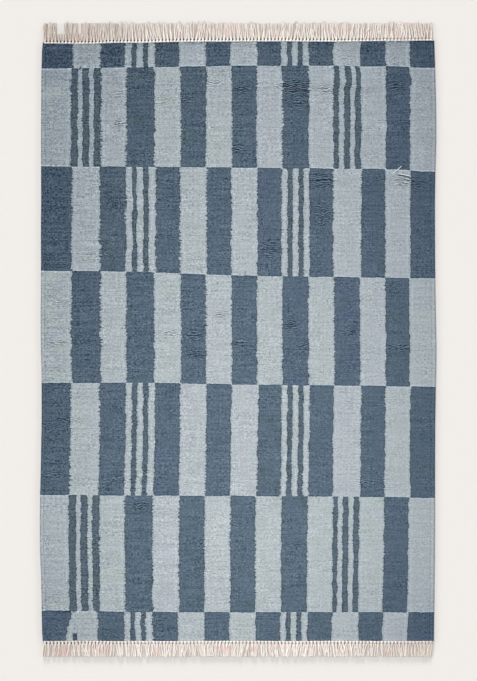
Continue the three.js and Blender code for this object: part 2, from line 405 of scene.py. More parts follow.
class FieldForm:
    """Finds the frame's woven field by rays from its sides, from its ends and from above."""

    def __init__(self):
        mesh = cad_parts["woven_field"].data
        corners = [vertex.co.copy() for vertex in mesh.vertices]
        self.tree = BVHTree.FromPolygons(corners, [tuple(face.vertices) for face in mesh.polygons])

    def hit(self, start, way):
        return self.tree.ray_cast(Vector(start), Vector(way))[0]

    def evened(self, measure, place, low, high, reach):
        """Mean of a measure around a place, which takes off the frame's corners."""
        places = [min(high, max(low, place + reach * step / 2)) for step in range(-2, 3)]
        return sum(measure(near) for near in places) / len(places)

    def side_at(self, y, side):
        def measure(near):
            return self.hit((2 * side, near, THICKNESS / 2), (-side, 0, 0)).x

        return self.evened(measure, y, FIELD_LOW.y + 0.02, FIELD_HIGH.y - 0.02, 0.04)

    def hem_at(self, x, side):
        def measure(near):
            return self.hit((near, 2 * side, THICKNESS / 2), (0, -side, 0)).y

        return self.evened(measure, x, FIELD_LOW.x + 0.02, FIELD_HIGH.x - 0.02, 0.04)

    def lift_at(self, x, y):
        """How high the cloth lies off the floor."""
        held_x = min(FIELD_HIGH.x - 0.03, max(FIELD_LOW.x + 0.03, x))

        def measure(near):
            return self.hit((held_x, near, 1), (0, 0, -1)).z - THICKNESS

        return max(0.0, self.evened(measure, y, FIELD_LOW.y + 0.03, FIELD_HIGH.y - 0.03, 0.012))


FIELD = FieldForm()


# Chart of the cloth, told by its block columns, stripes and rows

ROWS = len(ROW_ENDS) + 1
ROW_BOUNDS = [0.0, *[ends[2] for ends in ROW_ENDS], FLAT_SIZE[1]]
COLUMNS = len(COLUMN_WIDTHS)
FAR = 0.2


def stripe_edges(column):
    return next((block["edges"] for block in STRIPED_BLOCKS if block["column"] == column), ())


def is_striped(column, row):
    return any(block["column"] == column and row in block["rows"] for block in STRIPED_BLOCKS)


def is_pale(column, stripe, row):
    """Blocks change tone like a chequer, and every other stripe of a striped block changes back."""
    if not (0 <= column < COLUMNS and 0 <= row < ROWS):
        return None
    changed = is_striped(column, row) and stripe % 2 == 1
    return (column + row + changed) % 2 == 1


def column_lines():
    """Lines of the mesh across the cloth, each with the block column and stripe that start there."""
    lines = []
    start = 0.0
    for column, width in enumerate(COLUMN_WIDTHS):
        shares = (0.0, *stripe_edges(column), 1.0)
        cells = CELLS["stripe"] if len(shares) > 2 else CELLS["block"]
        for stripe, (low, high) in enumerate(zip(shares, shares[1:])):
            for cell in range(cells):
                across = start + width * lerp(low, high, cell / cells)
                lines.append({"across": across, "column": column, "stripe": stripe})
        start += width
    lines.append({"across": start, "column": COLUMNS - 1, "stripe": len(stripe_edges(COLUMNS - 1))})
    return lines


def row_lines():
    """Lines of the mesh down the cloth, each with its row of blocks and its share of the way down it."""
    lines = []
    for row, (start, end) in enumerate(zip(ROW_BOUNDS, ROW_BOUNDS[1:])):
        cells = max(4, 2 * round((end - start) / CELLS["down"] / 2))
        lines += [{"row": row, "share": cell / cells} for cell in range(cells)]
        if row < ROWS - 1:
            lines.append({"row": row, "share": 1 - STEP_STRIP / (end - start)})
    lines.append({"row": ROWS - 1, "share": 1.0})
    for line in lines:
        line["down"] = lerp(ROW_BOUNDS[line["row"]], ROW_BOUNDS[line["row"] + 1], line["share"])
    return lines


COLUMN_LINES = column_lines()
ROW_LINES = row_lines()
HEMS = [[FIELD.hem_at(line["across"] - 1, side) for line in COLUMN_LINES] for side in (1, -1)]
SIDES = [[FIELD.side_at(HEM_LINE - line["down"], side) for line in ROW_LINES] for side in (-1, 1)]


def wandering(across, down, waves):
    """How far a join wanders off its line."""
    return sum(
        size * noise.noise(Vector((across * across_scale, down * down_scale, place)))
        for across_scale, down_scale, place, size in waves
    )


def row_end(row, column_line):
    """Distance along Y at which a row of blocks ends, where a line across crosses it."""
    if row < 0:
        return HEMS[0][column_line]
    if row == ROWS - 1:
        return HEMS[1][column_line]
    across = COLUMN_LINES[column_line]["across"]
    end = between(across, ROW_END_PLACES, ROW_ENDS[row]) + wandering(across, row, END_WAVES)
    end += BULGE * (-0.3 if is_pale(COLUMN_LINES[column_line]["column"], 0, row) else 1)
    return HEM_LINE - end


def drift_at(down):
    """How far joins lie to the right of even spacing, eased from row to row."""
    middles = [(low + high) / 2 for low, high in zip(ROW_BOUNDS, ROW_BOUNDS[1:])]
    return between(down, middles, ROW_DRIFTS)


def nearness(across, down, middle, half, reach=1.0):
    """How near a place is to an oval's middle, from 0 at its reach to 1."""
    away = math.hypot((across - middle[0]) / half[0], (down - middle[1]) / half[1])
    return 1 - eased(away / reach)


def chart_place(corner, layers):
    """How far a corner of the mesh lies across and down."""
    return COLUMN_LINES[corner[layers[0]]]["across"], ROW_LINES[corner[layers[1]]]["down"]


def place_on_cloth(column_line, row_line):
    """X and Y of a crossing of the mesh's lines."""
    across = COLUMN_LINES[column_line]["across"]
    line = ROW_LINES[row_line]
    y = lerp(row_end(line["row"] - 1, column_line), row_end(line["row"], column_line), line["share"])
    x = lerp(SIDES[0][row_line], SIDES[1][row_line], across / FLAT_SIZE[0])
    inward = eased(min(across, FLAT_SIZE[0] - across) / 0.1)
    shift = drift_at(line["down"]) + wandering(across, line["down"], SIDE_WAVES)
    for middle, half, pull in SIDE_PULLS:
        shift += pull * nearness(across, line["down"], middle, half)
    for column, aside in JOIN_SHIFTS[line["row"]].items():
        away = abs(across - sum(COLUMN_WIDTHS[:column]))
        shift += aside * (1 - eased(away / SHIFT_REACH))
    lean = LEANING_JOIN
    if line["row"] == lean["row"]:
        join = sum(COLUMN_WIDTHS[:lean["column"]])
        shift += lean["lean"] * line["share"] * (1 - eased(abs(across - join) / lean["reach"]))
    for corner in CORNER_PULLS:
        aside = across if corner["side"] < 0 else FLAT_SIZE[0] - across
        along = line["down"] if corner["hem"] > 0 else FLAT_SIZE[1] - line["down"]
        share = (1 - eased(aside / corner["reach"][0])) * (1 - eased(along / corner["reach"][1]))
        x += corner["pull"][0] * share
        y += corner["pull"][1] * share
    return x + shift * inward, y


def joins_beside(across, stretch):
    """Distance to the nearer join beside a stretch of one tone."""
    low, high = stretch
    return min(FAR, across - low if low > 0 else FAR, high - across if high < FLAT_SIZE[0] else FAR)


def stretch_of(column, stripe, row):
    """Where the stretch of one tone, a stripe or a whole block, starts and ends across the cloth."""
    start = sum(COLUMN_WIDTHS[:column])
    width = COLUMN_WIDTHS[column]
    if not is_striped(column, row):
        return start, min(FLAT_SIZE[0], start + width)
    shares = (0.0, *stripe_edges(column), 1.0)
    return start + width * shares[stripe], min(FLAT_SIZE[0], start + width * shares[stripe + 1])


# Painted light, with some fading: lighter towards the middle of the rug, darker at its sides and along the
# top hem
def light_and_fade_at(across, down):
    light_and_fade = between(down, [step[0] for step in LIGHT_AND_FADE_DOWN], [step[1] for step in LIGHT_AND_FADE_DOWN])
    share = down / FLAT_SIZE[1]
    aside = across - lerp(*LIGHT_AND_FADE_ASIDE["middle"], share)
    return light_and_fade - lerp(*LIGHT_AND_FADE_ASIDE["fall"], share) * aside ** 2


def wrinkle_at(across, down):
    return max(depth * nearness(across, down, at, half, WRINKLE_REACH) for at, half, depth in WRINKLES)


def cloth_mesh():
    """One closed cloth whose mesh lines run along the joins between its blocks."""
    cloth = bmesh.new()
    column_count = len(COLUMN_LINES)
    row_count = len(ROW_LINES)
    bmesh.ops.create_grid(cloth, x_segments=column_count - 1, y_segments=row_count - 1, size=0.5)
    layers = [cloth.verts.layers.int.new(name) for name in ("column_line", "row_line")]
    column_of, row_of = layers
    light_and_fade = cloth.verts.layers.float.new("light_and_fade")
    wrinkle = cloth.verts.layers.float.new("wrinkle")
    strength = cloth.verts.layers.float.new("grain")
    for corner in cloth.verts:
        corner[column_of] = round((corner.co.x + 0.5) * (column_count - 1))
        corner[row_of] = round((0.5 - corner.co.y) * (row_count - 1))
    for corner in cloth.verts:
        across, down = chart_place(corner, layers)
        x, y = place_on_cloth(corner[column_of], corner[row_of])
        corner.co = (x, y, FIELD.lift_at(x, y))
        corner[light_and_fade] = light_and_fade_at(across, down)
        corner[wrinkle] = wrinkle_at(across, down)
        corner[strength] = GRAIN["start"] - GRAIN["aside"] * across * across - GRAIN["down"] * down

    # The upper face is lifted off a copy of itself, and the rim joins the two
    under = cloth.faces[:]
    upper = bmesh.ops.duplicate(cloth, geom=under)["geom"]
    upper_corners = [part for part in upper if isinstance(part, bmesh.types.BMVert)]
    bmesh.ops.reverse_faces(cloth, faces=under)
    for corner in upper_corners:
        across = chart_place(corner, layers)[0]
        inward = min(across, FLAT_SIZE[0] - across)
        swell = SIDE_CORD["swell"] * (1 - eased(inward / SIDE_CORD["reach"]))
        spread = corner.co * UNEVEN["spread"]
        corner.co.z += THICKNESS + swell + UNEVEN["height"] * noise.noise(spread)
    open_edges = [edge for edge in cloth.edges if edge.is_boundary]
    bmesh.ops.bridge_loops(cloth, edges=open_edges)
    paint_joins(cloth, layers)

    rim = [edge for edge in open_edges if edge.is_valid]
    bmesh.ops.bevel(
        cloth,
        geom=rim,
        offset=RIM["rounding"],
        offset_type="OFFSET",
        segments=RIM["segments"],
        profile=0.5,
        affect="EDGES",
        material=-1,
    )
    bmesh.ops.recalc_face_normals(cloth, faces=cloth.faces[:])
    for face in cloth.faces:
        face.smooth = True
    return finished_mesh("woven_cloth", cloth)


def paint_joins(cloth, layers):
    """Writes on each face its tone and how far its corners are from joins, sides and hems."""
    joins = cloth.loops.layers.uv.new("joins")
    borders = cloth.loops.layers.uv.new("borders")
    dye = cloth.faces.layers.float.new("dye")
    bite = cloth.faces.layers.float.new("bite")
    for face in cloth.faces:
        first = [
            lines[min(min(corner[layer] for corner in face.verts), len(lines) - 2)]
            for lines, layer in zip((COLUMN_LINES, ROW_LINES), layers)
        ]
        across, column, stripe = (first[0][key] for key in ("across", "column", "stripe"))
        row = first[1]["row"]
        pale = is_pale(column, stripe, row)
        stretch = stretch_of(column, stripe, row)
        above = is_pale(column, stripe, row - 1) not in (None, pale)
        below = is_pale(column, stripe, row + 1) not in (None, pale)
        top, end = ROW_BOUNDS[row:row + 2]
        is_narrow = is_striped(column, row)
        number = column * 7 + row * 3 + (stripe * 2 if is_narrow else 0)
        face[dye] = STRIPE_DYE if is_narrow and not pale else scatter(number, 5)
        depth = BITE["start"] - BITE["aside"] * across
        depth *= BITE["falls"][0] - BITE["falls"][1] * first[1]["down"]
        face[bite] = BITE["stripe"] if is_narrow else depth * lerp(*BITE["own"], scatter(number, 8))
        for loop in face.loops:
            across, down = chart_place(loop.vert, layers)
            side = joins_beside(across, stretch)
            ends = min(down - top if above else FAR, end - down if below else FAR)
            loop[joins].uv = (side if pale else -side, max(0.0, ends))
            loop[borders].uv = (min(across, FLAT_SIZE[0] - across), down)


# Shader trees


class Tree:
    """Adds nodes to a shader tree and joins them up."""

    def __init__(self, tree):
        self.tree = tree

    def node(self, kind, inputs=None, **settings):
        made = self.tree.nodes.new("ShaderNode" + kind)
        for name, value in settings.items():
            setattr(made, name, value)
        for name, value in (inputs or {}).items():
            self.feed(made.inputs[name], value)
        return made

    def feed(self, socket, value):
        if isinstance(value, bpy.types.NodeSocket):
            self.tree.links.new(value, socket)
        else:
            socket.default_value = value

    def math(self, operation, *values):
        made = self.node("Math", operation=operation)
        for socket, value in zip(made.inputs, values):
            self.feed(socket, value)
        return made.outputs[0]

    def ramp(self, value, low, high, start=0.0, end=1.0):
        """Smooth step from start to end as the value goes from low to high."""
        places = {"Value": value, "From Min": low, "From Max": high, "To Min": start, "To Max": end}
        return self.node("MapRange", places, interpolation_type="SMOOTHSTEP").outputs[0]

    def blend(self, share, first, second, kind="MIX"):
        made = self.node("Mix", {0: share, 6: first, 7: second}, data_type="RGBA", blend_type=kind)
        return made.outputs[2]

    def tint(self, share, colour, code, kind="MIX"):
        return self.blend(share, colour, linear(code), kind)

    def plus(self, first, *others):
        for other in others:
            first = self.math("ADD", first, other)
        return first

    def minus(self, first, other):
        return self.math("SUBTRACT", first, other)

    def times(self, first, *others):
        for other in others:
            first = self.math("MULTIPLY", first, other)
        return first

    def weighted(self, *parts):
        """Sum of values, each with its own weight."""
        return self.plus(*[self.times(value, weight) for value, weight in parts])

    def even(self, value, spread, weight):
        """Noise spread evenly about zero."""
        return self.ramp(value, 0.5 - spread, 0.5 + spread, -weight, weight)

    def strip(self, value, name, height=1.0):
        rise, fall = STRIPS[name]
        return self.times(self.ramp(value, *rise), self.ramp(value, *fall, 0.0, height))

    def humps(self, value):
        """Round humps, one for each whole number."""
        return self.math("ABSOLUTE", self.math("SINE", self.times(value, math.pi)))

    def scaled(self, vector, scale):
        return self.node("Mapping", {"Vector": vector, "Scale": scale}).outputs[0]

    def noise(self, vector, scale, detail=1.0, roughness=0.5, distortion=0.0):
        values = {"Scale": scale, "Detail": detail, "Roughness": roughness, "Distortion": distortion}
        return self.node("TexNoise", {"Vector": vector, **values}).outputs[0]

    def streaks(self, vector, across, down, *settings):
        """Noise with scales of its own across and down."""
        return self.noise(self.scaled(vector, (across, down, 1.0)), 1.0, *settings)

    def attribute(self, name):
        return self.node("Attribute", attribute_name=name).outputs["Fac"]

    def parts(self, vector):
        """The first two parts of a vector."""
        split = self.node("SeparateXYZ", {0: vector})
        return split.outputs[0], split.outputs[1]

    def chart(self, name):
        """The two distances that a map of the piece's own holds."""
        return self.parts(self.node("UVMap", uv_map=name).outputs[0])


def new_group(name, takes, gives):
    """Shader node group with named sockets."""
    group = bpy.data.node_groups.new(name, "ShaderNodeTree")
    for label, kind, value in takes:
        socket = group.interface.new_socket(label, in_out="INPUT", socket_type=kind)
        if value is not None:
            socket.default_value = value
    for label, kind in gives:
        group.interface.new_socket(label, in_out="OUTPUT", socket_type=kind)
    tree = Tree(group)
    return group, tree, group.nodes.new("NodeGroupInput").outputs, group.nodes.new("NodeGroupOutput").inputs


FLOAT = "NodeSocketFloat"
VECTOR = "NodeSocketVector"


def make_fibre_group():
    """Soft mottling of spun yarn, with its fine hairs, as an evened value about a half."""
    group, tree, takes, gives = new_group(
        "spun_fibre",
        [("Vector", VECTOR, None), ("Mottle Scale", FLOAT, 150.0), ("Hair Scale", FLOAT, 700.0)],
        [("Mottle", FLOAT), ("Hair", FLOAT)],
    )
    tree.feed(gives["Mottle"], tree.noise(takes["Vector"], takes["Mottle Scale"], 1.5, 0.6))
    tree.feed(gives["Hair"], tree.noise(takes["Vector"], takes["Hair Scale"], 2.0, 0.6))
    return group


def make_weave_group():
    """Weft-faced weave: wefts that bow over hidden warps, each row half a step from the last."""
    group, tree, takes, gives = new_group(
        "weft_faced_weave",
        [("Vector", VECTOR, None), ("Warp Step", FLOAT, 0.0046), ("Weft Step", FLOAT, 0.0029)],
        [("Height", FLOAT), ("Gap", FLOAT)],
    )
    x, y = tree.parts(takes["Vector"])
    waver = tree.times(tree.minus(tree.noise(takes["Vector"], 34.0), 0.5), 0.004)
    warp = tree.math("DIVIDE", tree.plus(x, waver), takes["Warp Step"])
    half = tree.times(tree.math("FLOOR", warp), 0.5)
    weft = tree.plus(tree.math("DIVIDE", tree.plus(y, waver), takes["Weft Step"]), half)
    rib = tree.math("POWER", tree.humps(warp), 0.6)
    pick = tree.math("POWER", tree.humps(weft), 0.7)
    height = tree.times(rib, pick)
    tree.feed(gives["Height"], height)
    # The gap between wefts, where the wool is painted darker as shade
    tree.feed(gives["Gap"], tree.ramp(height, 0.45, 0.05))
    return group


FIBRE = make_fibre_group()
WEAVE = make_weave_group()


def use_group(tree, group, inputs):
    made = tree.node("Group", node_tree=group)
    for name, value in inputs.items():
        tree.feed(made.inputs[name], value)
    return made.outputs


def new_material(name):
    material = bpy.data.materials.new(name)
    material.use_nodes = True
    material.node_tree.nodes.clear()
    tree = Tree(material.node_tree)
    shader = tree.node("BsdfPrincipled")
    output = tree.node("OutputMaterial")
    tree.feed(output.inputs["Surface"], shader.outputs[0])
    return material, tree, shader


def finish_fibre(tree, shader, colour, relief, roughness, specular, sheen):
    """Gives a fibre its colour, its bumps and its dull sheen."""
    bump = tree.node("Bump", {"Strength": 1.0, "Distance": 1.0, "Height": relief})
    tree.feed(shader.inputs["Base Color"], colour)
    tree.feed(shader.inputs["Normal"], bump.outputs[0])
    tree.feed(shader.inputs["Roughness"], roughness)
    tree.feed(shader.inputs["Specular IOR Level"], specular)
    tree.feed(shader.inputs["Sheen Weight"], sheen[0])
    tree.feed(shader.inputs["Sheen Roughness"], sheen[1])


def toothed(tree, place, side):
    """Distance into pale wool, where side joins interlock over a few wefts and so are toothed."""
    teeth = tree.minus(tree.streaks(place, 18.0, 112.0, 1.5, 0.6), 0.5)
    bite = tree.ramp(tree.streaks(place, 7.0, 3.5), 0.35, 0.65, 0.6, 1.5)
    return tree.plus(side, 0.0014, tree.times(teeth, bite, tree.attribute("bite")))


def beside_slip(tree, place):
    """All of the cloth but the slip of dark weft that lies in one pale block."""
    across, down = DARK_SLIP["at"]
    turn = {"Location": (1 - across, down - HEM_LINE, 0)}
    own_place = tree.node("Mapping", {"Vector": place, **turn}).outputs[0]
    aways = [
        tree.math("DIVIDE", tree.math("ABSOLUTE", part), half)
        for part, half in zip(tree.parts(own_place), DARK_SLIP["half"])
    ]
    return tree.minus(1.0, tree.ramp(tree.math("MAXIMUM", *aways), 1.05, 0.9))


def dyed_blue(tree, place, pale):
    """Both tones, in dye lots that run a little greener or more violet."""
    # The cloth's painted light and fading lighten both tones
    light_and_fade = tree.attribute("light_and_fade")
    streak = tree.streaks(place, 1.6, 26.0, 2.0, 0.6)
    batch = tree.noise(place, 13.0)
    lot = tree.weighted((tree.attribute("dye"), 0.25), (streak, 0.35), (batch, 0.6))
    greener = tree.ramp(lot, 0.64, 0.90, 0.0, 0.60)
    bluer = tree.ramp(lot, 0.56, 0.34, 0.0, 0.45)
    tones = []
    for tone in (SLATE, MIST):
        made = tree.tint(light_and_fade, linear(tone["deep"]), tone["light_and_faded"])
        made = tree.tint(greener, made, tone["greener"])
        tones.append(tree.tint(bluer, made, tone["bluer"]))
    return tree.blend(pale, *tones)


def rimmed(tree, place, colour, pale, reach, side, end):
    """Adds the rims where the wefts of a block turn round its last warp: painted highlights along the pale
    side and at the end of pale blocks, painted shade along the dark side, at the end of dark blocks and in
    pale wool near the join, and a warm strip in dark wool.
    """
    bead = tree.streaks(place, 50.0, 120.0)
    rim = tree.times(tree.strip(side, "pale_rim"), tree.ramp(bead, 0.38, 0.62, 0.4, 1.0))
    block_end_highlight = tree.times(tree.ramp(end, 0.0080, 0.0020), tree.ramp(bead, 0.40, 0.60, 0.3, 1.0))
    rim = tree.math("MAXIMUM", tree.times(rim, 0.36), tree.times(block_end_highlight, 0.85))
    colour = tree.tint(tree.times(rim, pale), colour, RIM_COLOURS["light"])
    pale_side_shade = tree.times(tree.ramp(reach, 0.0110, 0.0020, 0.0, 0.24), pale)
    colour = tree.tint(pale_side_shade, colour, RIM_COLOURS["dull"])
    back = tree.times(reach, -1.0)
    colour = tree.tint(tree.strip(back, "warm_rim", 0.06), colour, RIM_COLOURS["warm"])
    rim_shade = tree.times(tree.ramp(back, 0.0090, 0.0010), tree.ramp(bead, 0.60, 0.40, 0.10, 0.50))
    block_end_shade = tree.times(tree.ramp(end, 0.0070, 0.0015), 0.45)
    rim_shade = tree.times(tree.math("MAXIMUM", rim_shade, block_end_shade), tree.minus(1.0, pale))
    return tree.tint(rim_shade, colour, RIM_COLOURS["dark"])


def folded(tree, place):
    """Wrinkles, the close curved ridges where tight wefts draw the cloth in, and fine creases: heights that
    also give their painted shade and highlight.
    """
    swirl_inputs = {"Vector": place, "Scale": 28.0, "Distortion": 11.0, "Detail": 1.0, "Detail Scale": 0.8}
    swirl = tree.node("TexWave", swirl_inputs, bands_direction="Y").outputs["Fac"]
    waves = tree.streaks(place, 42.0, 104.0, 1.0, 0.5, 0.8)
    ridges = tree.plus(tree.ramp(swirl, 0.1, 0.9, -1.2, 0.8), tree.even(waves, 0.14, 0.5))
    calm = tree.ramp(tree.noise(place, 5.0), 0.45, 0.70, 0.0, 0.16)
    wrinkles = tree.times(ridges, tree.plus(tree.attribute("wrinkle"), calm))
    return tree.plus(wrinkles, *[crease_line(tree, place, *crease) for crease in CREASES])


def wool_material():
    """Two blues of wool, with toothed joins, rims, wrinkles, fading and painted light and shade."""
    material, tree, shader = new_material("blue_wool")
    place = tree.node("TexCoord").outputs["Object"]
    side, end = tree.chart("joins")
    to_side, from_top = tree.chart("borders")
    stretched = tree.scaled(place, MOTTLE["stretch"])
    fibre = use_group(tree, FIBRE, {"Vector": stretched, "Mottle Scale": MOTTLE["scale"]})
    weave = use_group(tree, WEAVE, {"Vector": place})
    reach = toothed(tree, place, side)
    pale = tree.times(tree.ramp(reach, -0.0008, 0.0008), beside_slip(tree, place))
    colour = rimmed(tree, place, dyed_blue(tree, place, pale), pale, reach, side, end)

    # Grain of short wefts and ribs, with long runs of lighter and darker weft
    flecks = {name: tree.streaks(place, *fleck["scales"]) for name, fleck in FLECKS.items()}
    grain = tree.even(fibre["Mottle"], MOTTLE["spread"], MOTTLE["weight"])
    evened = [tree.even(flecks[name], fleck["spread"], fleck["weight"]) for name, fleck in FLECKS.items()]
    patch = tree.ramp(tree.noise(place, 9.0), 0.32, 0.68, 0.74, 1.32)
    grain = tree.times(tree.plus(grain, *evened), patch, tree.attribute("grain"))

    # Shade of the grain, with painted shade and highlight on the folds, at the side cords and along the hems
    # The folds raise the relief, and their painted shade and highlight go into the colour
    fold = folded(tree, place)
    shades = ((grain, SHADING["grain"]), (fold, SHADING["fold"]), (weave["Gap"], SHADING["gap"]))
    shade = tree.times(tree.weighted(*shades), tree.minus(1.0, tree.times(pale, SHADING["pale"])))
    # Painted shade at the side edge and in the line inside the side cord, and a painted highlight on the
    # cord's swell
    cord_line = tree.strip(to_side, "cord_line")
    painted_side_shade = tree.ramp(to_side, 0.0080, 0.0010, 0.0, -0.26)
    cord = tree.weighted((tree.strip(to_side, "side_cord"), 0.10), (cord_line, -0.10))
    # Painted shadow of the knots along the top hem, in flecks that follow the picks
    knot_shadow_flecks = tree.ramp(flecks["picks"], 0.62, 0.38, 0.0, -0.34)
    painted_knot_shadow = tree.times(tree.ramp(from_top, 0.0130, 0.0020), knot_shadow_flecks)
    # Painted light along the bottom hem, against the shade of its rounded rim
    painted_hem_light = tree.ramp(from_top, 3.020, 3.036, 0.0, 0.16)
    shade = tree.plus(shade, cord, painted_side_shade, painted_knot_shadow, painted_hem_light)
    lit = tree.node("VectorMath", {0: colour}, operation="SCALE")
    tree.feed(lit.inputs["Scale"], tree.plus(1.0, tree.times(shade, SHADING["strength"])))
    grey = tree.times(shade, tree.ramp(pale, 0.0, 1.0, 0.060, 0.195))
    grey = tree.node("CombineXYZ", {0: grey, 1: grey, 2: grey}).outputs[0]
    lit = tree.node("VectorMath", {0: lit.outputs[0], 1: grey}, operation="ADD")
    lit = tree.node("VectorMath", {0: lit.outputs[0], 1: DEEPEST_SHADE}, operation="MAXIMUM")

    join_ridge = tree.ramp(tree.math("ABSOLUTE", reach), 0.0050, 0.0)
    relief = tree.weighted(
        (weave["Height"], RELIEF["weft"]),
        (fibre["Mottle"], RELIEF["mottle"]),
        (fibre["Hair"], RELIEF["hair"]),
        (join_ridge, RELIEF["join"]),
        (fold, RELIEF["fold"]),
        (cord_line, RELIEF["cord"]),
    )
    roughness = tree.ramp(fibre["Mottle"], 0.3, 0.7, 0.98, 0.86)
    finish_fibre(tree, shader, lit.outputs[0], relief, roughness, 0.25, (0.10, 0.6))
    return material


def crease_line(tree, place, start, end, shade):
    """Height of one fine crease, a groove with a ridge above it, which also gives its painted shade and
    highlight.
    """
    ends = [Vector((across - 1, HEM_LINE - down, 0)) for across, down in (start, end)]
    run = ends[1] - ends[0]
    turn = {"Location": (ends[0] + ends[1]) / 2, "Rotation": (0, 0, math.atan2(run.y, run.x))}
    own_place = tree.node("Mapping", {"Vector": place, **turn}, vector_type="TEXTURE").outputs[0]
    along, aside = tree.parts(own_place)
    half = run.length / 2
    stretch = tree.ramp(tree.math("ABSOLUTE", along), half, half * 0.5)
    groove = tree.ramp(tree.math("ABSOLUTE", aside), CREASE_WIDTH, 0.0)
    above = tree.minus(aside, CREASE_WIDTH * 1.3)
    ridge = tree.ramp(tree.math("ABSOLUTE", above), CREASE_WIDTH, 0.0, 0.0, 0.6)
    return tree.times(stretch, tree.times(tree.minus(ridge, groove), shade))


def along_rug(tree, across, there):
    """Share that eases in along the rug."""
    return tree.ramp(across, there["from"], there["to"], 0.0, there["share"])


def yarn_material(name, deep, light, root_contrast=0.0, warmth=0.0, greyed=0.0, shade_towards_ends=None, dull=None, paled=None):
    """Twisted yarn, painted darker in the grooves of its twist as shade, greyer at its tips, pinker here and
    there, and at its root lighter in the upper yarns and painted in shade in the under yarns.
    """
    material, tree, shader = new_material(name)
    place = tree.node("TexCoord").outputs["Object"]
    across = tree.parts(place)[0]
    along, around = tree.chart("yarn")
    tone = tree.attribute("tone")
    from_root = tree.attribute("from_root")
    fibre = use_group(tree, FIBRE, {"Vector": place, "Mottle Scale": 260.0, "Hair Scale": 1500.0})
    twist = tree.humps(tree.weighted((along, 290.0), (around, 2.0)))
    colour = tree.tint(tone, linear(deep), light)
    # Painted shade in the grooves of the twist
    colour = tree.tint(tree.ramp(twist, 0.45, 0.0, 0.0, 0.35), colour, deep)
    colour = tree.tint(tree.ramp(fibre["Mottle"], 0.60, 0.35, 0.0, 0.25), colour, deep)
    batch = tree.streaks(place, 13.0, 20.0)
    colour = tree.tint(tree.ramp(batch, 0.50, 0.66, 0.0, warmth), colour, COTTON_TINTS["pink"])
    colour = tree.tint(tree.ramp(batch, 0.46, 0.32, 0.0, warmth), colour, COTTON_TINTS["cream"])
    colour = tree.tint(tree.ramp(from_root, 0.040, 0.080, 0.0, greyed), colour, deep)
    # At the root the upper yarns turn lighter and the under yarns are painted dark, as the shade between the
    # strands
    root_colour = tree.tint(tree.ramp(tone, 0.45, 0.60, 0.0, 0.84), linear(deep), light)
    colour = tree.blend(tree.ramp(from_root, 0.026, 0.012, 0.0, root_contrast), colour, root_colour)
    # Painted shade on the necks, where the knots and cords shade the strands
    if dull:
        neck = tree.times(tree.strip(from_root, "neck"), along_rug(tree, across, dull))
        colour = tree.tint(neck, colour, deep)
    # The painted shadow of the dark cord is paler along part of the rug
    if paled:
        colour = tree.tint(along_rug(tree, across, paled), colour, COTTON_TINTS["cord"])
    # Painted shade, darker towards the ends of the rug
    if shade_towards_ends:
        aside = tree.math("ABSOLUTE", tree.minus(across, shade_towards_ends["middle"]))
        colour = tree.tint(along_rug(tree, aside, shade_towards_ends), colour, COTTON_TINTS["shade_towards_ends"], "MULTIPLY")
    relief = tree.weighted((twist, 0.0004), (fibre["Hair"], 0.0002))
    roughness = tree.ramp(twist, 0.0, 1.0, 0.95, 0.82)
    finish_fibre(tree, shader, colour, relief, roughness, 0.3, (0.15, 0.5))
    return material


# Yarns


def yarn_mesh(name, runs, thickness, tones, sides=6):
    """Mesh of round yarns along runs of points, with the tone and the length along each."""
    curve = bpy.data.curves.new(name, "CURVE")
    curve.dimensions = "3D"
    curve.bevel_depth = thickness / 2
    curve.bevel_resolution = (sides - 4) // 2
    for run in runs:
        spline = curve.splines.new("POLY")
        spline.points.add(len(run) - 1)
        for point, place in zip(spline.points, run):
            point.co = (*place, 1)
    holder = placed(name, curve)
    shape = holder.evaluated_get(bpy.context.evaluated_depsgraph_get())
    mesh = bpy.data.meshes.new_from_object(shape)
    bpy.data.objects.remove(holder)
    bpy.data.curves.remove(curve)
    mark_yarns(mesh, runs, tones)
    return mesh


def walked_lengths(run):
    lengths = [0.0]
    for here, there in zip(run, run[1:]):
        lengths.append(lengths[-1] + (Vector(there) - Vector(here)).length)
    return lengths


def mark_yarns(mesh, runs, tones):
    """Writes each yarn's tone and how far along and around it each place is, and closes its ends."""
    yarns = bmesh.new()
    yarns.from_mesh(mesh)
    yarns.verts.ensure_lookup_table()
    tone = yarns.verts.layers.float.new("tone")
    from_root = yarns.verts.layers.float.new("from_root")
    chart = yarns.loops.layers.uv.new("yarn")
    each = len(yarns.verts) // len(runs)
    ring = each // len(runs[0])
    lengths = [walked_lengths(run) for run in runs]
    for corner in yarns.verts:
        number = corner.index // each
        corner[tone] = tones[number]
        corner[from_root] = lengths[number][(corner.index % each) // ring]
    for face in yarns.faces:
        face.smooth = True
        turns = [loop.vert.index % ring for loop in face.loops]
        closes = max(turns) == ring - 1 and min(turns) == 0
        for loop, turn in zip(face.loops, turns):
            around = 1.0 if closes and turn == 0 else turn / ring
            loop[chart].uv = (loop.vert[from_root], around)
    ends = [edge for edge in yarns.edges if edge.is_boundary]
    for face in bmesh.ops.holes_fill(yarns, edges=ends, sides=ring)["faces"]:
        face.smooth = False
        for edge in face.edges:
            edge.smooth = False
        for loop in face.loops:
            loop[chart].uv = (loop.vert[from_root], 0.5)
    bmesh.ops.recalc_face_normals(yarns, faces=yarns.faces[:])
    yarns.to_mesh(mesh)
    yarns.free()


def turned(side, x, y, z):
    """The bottom fringe is the top one turned half round."""
    return side * x, side * y, z


